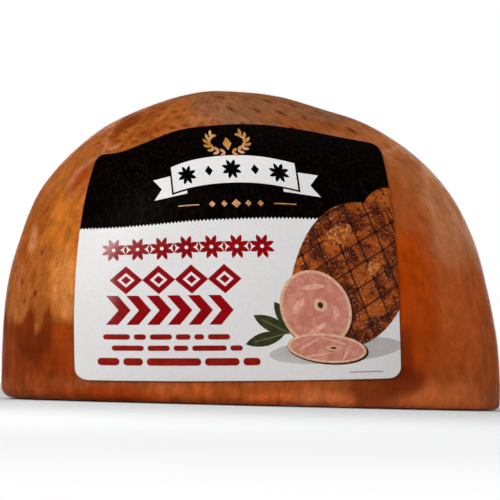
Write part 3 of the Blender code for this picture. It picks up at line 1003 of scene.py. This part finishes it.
class Nodes:
    """A short way to build a material's nodes."""

    def __init__(self, name):
        self.material = bpy.data.materials.new(name)
        self.material.use_nodes = True
        self.tree = self.material.node_tree
        self.tree.nodes.clear()
        self.output = self.tree.nodes.new("ShaderNodeOutputMaterial")

    def node(self, kind, **settings):
        made = self.tree.nodes.new(kind)
        for name, value in settings.items():
            setattr(made, name, value)
        return made

    def put(self, socket, value):
        """Sets a socket's own value, or links another node's output to it."""
        if isinstance(value, bpy.types.NodeSocket):
            self.tree.links.new(value, socket)
        else:
            socket.default_value = value

    def fill(self, made, *values, **named):
        """Fills a node's inputs in their order, or by name with low lines for spaces."""
        for socket, value in zip(made.inputs, values):
            self.put(socket, value)
        for name, value in named.items():
            self.put(made.inputs[name.replace("_", " ")], value)
        return made

    def math(self, operation, *values):
        return self.fill(self.node("ShaderNodeMath", operation=operation), *values).outputs[0]

    def times(self, first, second):
        return self.math("MULTIPLY", first, second)

    def vector(self, operation, *values, **named):
        return self.fill(self.node("ShaderNodeVectorMath", operation=operation), *values, **named).outputs[0]

    def split(self, vector):
        return list(self.fill(self.node("ShaderNodeSeparateXYZ"), vector).outputs)

    def attribute(self, name, output="Fac"):
        return self.node("ShaderNodeAttribute", attribute_name=name).outputs[output]

    def object_place(self, scale=(1, 1, 1)):
        """Place on the object, in millimetres, stretched by scale."""
        place = self.node("ShaderNodeTexCoord").outputs["Object"]
        return self.vector("MULTIPLY", place, tuple(s / MM for s in scale))

    def noise(self, place, size, detail=2.0, roughness=0.5, distortion=0.0, output="Fac"):
        made = self.fill(self.node("ShaderNodeTexNoise"), Vector=place, Scale=1 / size, Detail=detail,
                         Roughness=roughness, Distortion=distortion)
        return made.outputs[output]

    def map(self, value, low, high, to_low=0.0, to_high=1.0):
        """Turns low to high into to_low to to_high, softly at both ends."""
        made = self.node("ShaderNodeMapRange", interpolation_type="SMOOTHSTEP")
        self.fill(made, Value=value, From_Min=low, From_Max=high, To_Min=to_low, To_Max=to_high)
        return made.outputs["Result"]

    def mix(self, share, first, second):
        """Two colours mixed, with share of the second."""
        made = self.fill(self.node("ShaderNodeMix", data_type="RGBA"), Factor=share)
        for name, value in (("A", first), ("B", second)):
            self.put(next(s for s in made.inputs if s.name == name and s.type == "RGBA"), opaque(value))
        return next(s for s in made.outputs if s.type == "RGBA")

    def blend(self, *values):
        """Two shaders mixed; the values are the share of the second one, then the two."""
        return self.fill(self.node("ShaderNodeMixShader"), *values).outputs[0]

    def bump(self, height, strength, distance):
        made = self.node("ShaderNodeBump")
        return self.fill(made, Height=height, Strength=strength, Distance=distance * MM).outputs["Normal"]

    def principled(self, **values):
        values = {name: opaque(value) for name, value in values.items()}
        return self.fill(self.node("ShaderNodeBsdfPrincipled"), **values).outputs[0]

    def finish(self, surface):
        self.put(self.output.inputs["Surface"], surface)
        return self.material


def meat_material():
    """Smoked skin: painted tones, upright streaks, mottling, and three kinds of small dark marks."""
    m = Nodes("smoked_skin")
    grain = m.attribute("grain")
    place, upright = m.object_place(), m.attribute("streaks", "Vector")
    streak = m.noise(upright, 3.4, 3.0, 0.6, 0.6)
    mottle = m.noise(place, 5.5, 4.0, 0.6, 0.6)
    shade = m.times(m.map(streak, 0.25, 0.75, 0.77, 1.23), m.map(mottle, 0.25, 0.75, 0.80, 1.20))
    shade = m.times(shade, m.map(m.noise(place, 0.9, 2.0, 0.6), 0.2, 0.8, 0.90, 1.10))
    shade = m.math("POWER", shade, m.map(grain, 0, 1, 0.3, 1.0))
    colour = m.vector("SCALE", m.attribute("tone", "Color"), Scale=shade)
    blotch = m.times(m.map(m.noise(upright, 2.2, 3.0, 0.65), 0.56, 0.72, 0.0, 0.35), grain)
    colour = m.mix(blotch, colour, BLOTCH)
    dash_share, fleck_share, spot_share = m.split(m.attribute("marks", "Vector"))
    kinds = ((lattice_marks(m, *SPOTS), spot_share, SPOT_BROWN), (flecks(m), fleck_share, FLECK_BROWN),
             (lattice_marks(m, *DASHES), dash_share, DASH_BROWN))
    for marks, share, ink in kinds:
        colour = m.mix(m.times(marks, share), colour, ink)
    height = m.math("ADD", m.times(mottle, 0.7), m.times(streak, 0.3))
    normal = m.bump(height, 0.35, 0.6)
    return m.finish(m.principled(Base_Color=colour, Roughness=0.6, Specular_IOR_Level=0.0, Normal=normal))


def flecks(m):
    """Small upright marks scattered over the skin."""
    cells = m.fill(m.node("ShaderNodeTexVoronoi"), Vector=m.object_place((1, 1, 0.5)),
                   Scale=1 / FLECK_SIZE)
    return m.map(cells.outputs["Distance"], 0.24, 0.12, 0.0, FLECK_STRENGTH)


def lattice_marks(m, pitch, halves, loose, strength):
    """Small slanted marks in staggered rows on the skin's chart, uneven in place, size and depth."""
    chart = m.attribute("chart", "Vector")
    wander = m.vector("SUBTRACT", m.noise(chart, 9.0, output="Color"), (0.5, 0.5, 0.5))
    wander = m.vector("MULTIPLY", wander, (4.0 + loose, 2.4 + loose, 0))
    x, y, _ = m.split(m.vector("ADD", m.vector("ADD", chart, MARK_SHIFT), wander))
    row = m.math("DIVIDE", y, pitch[1])
    row_index = m.math("ROUND", row)
    stagger = m.times(m.math("PINGPONG", row_index, 1.0), 0.5)
    column = m.math("ADD", m.math("DIVIDE", x, pitch[0]), stagger)
    dx = m.times(m.math("SUBTRACT", column, m.math("ROUND", column)), pitch[0])
    dy = m.times(m.math("SUBTRACT", row, row_index), pitch[1])
    c, s = math.cos(MARK_TILT), math.sin(MARK_TILT)
    along = m.math("ADD", m.times(dx, c), m.times(dy, s))
    across = m.math("SUBTRACT", m.times(dy, c), m.times(dx, s))
    long_share = m.math("POWER", m.math("DIVIDE", along, halves[0]), 2.0)
    wide_share = m.math("POWER", m.math("DIVIDE", across, halves[1]), 2.0)
    away = m.math("SQRT", m.math("ADD", long_share, wide_share))
    size = m.map(m.noise(chart, 7.0, 1.0), 0.3, 0.7, 0.65, 1.2)
    depth = m.map(m.noise(chart, 11.0, 1.0), 0.35, 0.6, 0.35 * strength, strength)
    return m.times(m.map(m.math("DIVIDE", away, size), 1.5, 0.35), depth)


def film_material():
    """Clear film: a thin gloss over whatever lies under it, with fine wrinkles."""
    m = Nodes("clear_film")
    normal = m.bump(m.noise(m.object_place((1, 1, 0.35)), 6.0, 3.0, 0.55, 0.8), 0.5, 0.5)
    gloss = m.node("ShaderNodeBsdfGlossy")
    m.fill(gloss, Color=(1, 1, 1, 1), Roughness=FILM_ROUGHNESS, Normal=normal)
    fresnel = m.fill(m.node("ShaderNodeFresnel"), IOR=FILM_IOR, Normal=normal)
    share = m.times(fresnel.outputs[0], m.attribute("shine"))
    clear = m.node("ShaderNodeBsdfTransparent")
    return m.finish(m.blend(share, clear.outputs[0], gloss.outputs[0]))


def ink_material(name, colour, other=None, size=1.2, stretch=(1, 1, 1), shares=(0.3, 0.7), roughness=0.34,
                 gloss=0.2):
    """Ink or paper: an uneven mix of two tones, its patches size millimetres across."""
    m = Nodes(name)
    other = other or tuple(c * 0.94 for c in colour)
    speck = m.noise(m.object_place(stretch), size, 4.0, 0.65, 0.3)
    base = m.mix(m.map(speck, *shares), colour, other)
    normal = m.bump(m.noise(m.object_place(), 9.0, 2.0), 0.25, 0.4)
    surface = m.principled(Base_Color=base, Roughness=roughness, Specular_IOR_Level=gloss, Normal=normal)
    return m.finish(surface)


def crust_material():
    """Printed glaze: dark and golden patches, burnt specks and small bright glints."""
    m = Nodes("print_crust")
    place = m.object_place()
    broad = m.noise(place, 7.0, 3.0, 0.6, 0.8)
    fine = m.noise(place, 1.5, 4.0, 0.7, 0.6)
    glints = m.noise(place, 0.75, 2.0, 0.6)
    base = m.mix(m.map(broad, 0.38, 0.64), srgb(84, 28, 10), srgb(172, 82, 22))
    base = m.mix(m.map(fine, 0.50, 0.68), base, srgb(30, 9, 5))
    base = m.mix(m.times(m.map(glints, 0.60, 0.72), 0.7), base, srgb(222, 170, 140))
    return m.finish(m.principled(Base_Color=base, Roughness=0.34, Specular_IOR_Level=0.1))


def label_materials():
    """Every ink of the label, by name."""
    upright, white = (1, 1, 0.05), (0.775, 0.755, 0.745)
    meat, meat_other = srgb(208, 140, 120), srgb(190, 114, 96)
    made = (
        ink_material("label_paper", white),
        ink_material("ink_white", white),
        ink_material("ink_black", (0.0008, 0.0004, 0.0002), (0.012, 0.006, 0.004), 1.1, upright, (0.45, 0.8),
                     gloss=0.007),
        # Lighter grey for the line along the crease on the black field
        ink_material("ink_crease_line", srgb(32, 27, 23), gloss=0.01),
        ink_material("ink_gold", srgb(170, 118, 34), srgb(206, 152, 112), 6.0, shares=(0.4, 0.6)),
        ink_material("ink_red", srgb(150, 0, 7), srgb(130, 0, 5), 5.0, roughness=0.16, gloss=0.34),
        ink_material("ink_rust", srgb(150, 26, 14), srgb(128, 10, 6), 5.0, gloss=0.08),
        ink_material("ink_grey", srgb(150, 148, 148)),
        ink_material("print_shadow", srgb(196, 190, 188), srgb(176, 170, 168), 14.0),
        crust_material(),
        ink_material("print_score", srgb(40, 13, 6), srgb(74, 28, 10), 1.6, shares=(0.4, 0.6)),
        ink_material("print_clove", srgb(20, 7, 4), srgb(46, 20, 10)),
        ink_material("print_glow", srgb(214, 134, 62), srgb(120, 46, 14), 1.6, shares=(0.36, 0.6)),
        ink_material("print_fat", srgb(226, 188, 156), srgb(206, 152, 116), 2.4),
        ink_material("print_meat", meat, meat_other, 4.0, shares=(0.35, 0.65)),
        ink_material("print_meat_light", srgb(228, 176, 158), meat, 2.0),
        ink_material("print_leaf", srgb(58, 62, 28), srgb(34, 38, 18), 3.0),
        ink_material("print_leaf_light", srgb(104, 106, 60)),
    )
    # Blender puts a number behind a name that one of the frame's materials has
    return {material.name.split(".")[0]: material for material in made}


# Studio


def make_stage():
    """A round pale floor that turns white far out, and a round white wall that sweeps up from it."""
    count = STAGE_SIDES
    turns = [2 * math.pi * k / count for k in range(count)]
    profile = [(FLOOR_RADIUS, 0.0)]
    for k in range(STAGE_STEPS + 1):
        turn = k / STAGE_STEPS * math.pi / 2
        profile.append((STAGE_RADIUS + STAGE_SWEEP * math.sin(turn), STAGE_SWEEP * (1 - math.cos(turn))))
    profile.append((STAGE_RADIUS + STAGE_SWEEP, STAGE_HEIGHT))
    rings = [[(r * math.cos(t), r * math.sin(t), z) for t in turns] for r, z in profile]
    finish = studio_material()
    floor = add_mesh("studio_floor", rings[0], [tuple(range(count))], [finish])
    faces = []
    for k in range(len(profile) - 1):
        for i in range(count):
            a, b = k * count + i, k * count + (i + 1) % count
            faces.append((a, b, b + count, a + count))
    wall = add_mesh("studio_wall", [point for ring in rings for point in ring], faces, [finish])
    wall.visible_diffuse = wall.visible_glossy = False


def studio_material():
    """Pale matt floor near the ham, plain white light far from it."""
    m = Nodes("studio_white")
    away = m.fill(m.node("ShaderNodeVectorMath", operation="LENGTH"), m.object_place())
    floor = m.principled(Base_Color=(FLOOR_TONE,) * 3, Roughness=0.9, Specular_IOR_Level=0.0)
    glow = m.node("ShaderNodeEmission")
    return m.finish(m.blend(m.map(away.outputs["Value"], *FLOOR_FADE), floor, glow.outputs[0]))


def aimed(place, aim, upright=(0, 0, 1)):
    """The pose of a light at a place in millimetres that looks at aim, its long side along upright."""
    place, aim = Vector(place) * MM, Vector(aim) * MM
    back = (place - aim).normalized()
    side = Vector(upright).cross(back).normalized()
    return Matrix.Translation(place) @ Matrix((side, back.cross(side), back)).transposed().to_4x4()


def add_light(name, kind, pose, power):
    """A light of its kind at its pose, for the callers below to shape."""
    data = bpy.data.lights.new(name, kind)
    data.energy = power
    return placed(name, data, pose)


def area_light(name, pose, size, power, matt=True, glossy=True):
    """A soft box, size millimetres wide and high, that lights matt surfaces, glossy ones or both."""
    made = add_light(name, "AREA", pose, power)
    made.data.shape = "RECTANGLE"
    made.data.size, made.data.size_y = size[0] * MM, size[1] * MM
    made.visible_diffuse, made.visible_glossy, made.visible_camera = matt, glossy, False


def floor_spot(pose, power):
    """A soft-edged spotlight that reaches only the floor."""
    made = add_light("floor", "SPOT", pose, power)
    made.data.spot_size = math.radians(75)
    made.data.spot_blend = 1.0
    made.data.shadow_soft_size = 0.2


def make_lights():
    ham = (0, 0, 60)
    area_light("key", aimed((-380, -740, 660), ham), (420, 420), 5.6)
    area_light("strip", aimed((-830, -1050, 590), ham, (-170, 464, 651)), (240, 820), 3.6)
    area_light("fill", aimed((900, -1300, 500), ham), (800, 800), 0.7)
    area_light("overhead", aimed((150, 250, 1200), ham), (900, 600), 1.5)
    area_light("left_gleam", aimed((-330, 1150, 260), ham), (150, 900), 1.4, matt=False)
    area_light("right_gleam", aimed((460, 1080, 330), ham), (150, 900), 1.4, matt=False)
    for side in (-1, 1):
        pose = aimed((side * 1600, 700, 2000), (side * 500, 1500, 500))
        area_light("backdrop", pose, (900, 900), 31, glossy=False)
        for y, power in ((-800, 20), (-1450, 34)):
            floor_spot(aimed((side * 400, y, 1000), (side * 400, y, 0), (0, 1, 0)), power)
    world = bpy.data.worlds.new("studio_air")
    world.use_nodes = True
    air = world.node_tree.nodes["Background"]
    air.inputs["Color"].default_value = AIR_TONE
    air.inputs["Strength"].default_value = AIR_STRENGTH
    bpy.context.scene.world = world
    bpy.context.scene.view_settings.view_transform = "Standard"


def make_camera():
    """The photograph's view: low in front, rolled a little clockwise."""
    place, centre = Vector(CAMERA_PLACE) * MM, Vector(PICTURE_CENTRE) * MM
    back = (place - centre).normalized()
    roll = math.radians(CAMERA_ROLL)
    right = Vector((math.cos(roll), 0, math.sin(roll)))
    right = (right - back * right.dot(back)).normalized()
    up = back.cross(right)
    data = bpy.data.cameras.new("photo_view")
    data.sensor_width = SENSOR_WIDTH
    data.lens = SENSOR_WIDTH * (place - centre).length / (PICTURE_WIDTH * MM)
    data.clip_end = 20
    pose = Matrix.Translation(place) @ Matrix((right, up, back)).transposed().to_4x4()
    bpy.context.scene.camera = placed("photo_view", data, pose)


def main():
    for old in list(bpy.data.objects):
        bpy.data.objects.remove(old)
    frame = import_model()
    make_camera()
    make_lights()
    make_stage()
    skin = fine_skin(frame["nodes"]["wrapped_ham"])
    meat, film, label = make_meat(skin), make_film(skin), make_label(skin)
    for piece, node, slot in ((meat, "wrapped_ham", "smoked_skin"), (film, "wrapped_ham", "smoked_skin"),
                              (label, "label", "label_paper")):
        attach(piece, "root")
        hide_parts(node)


main()
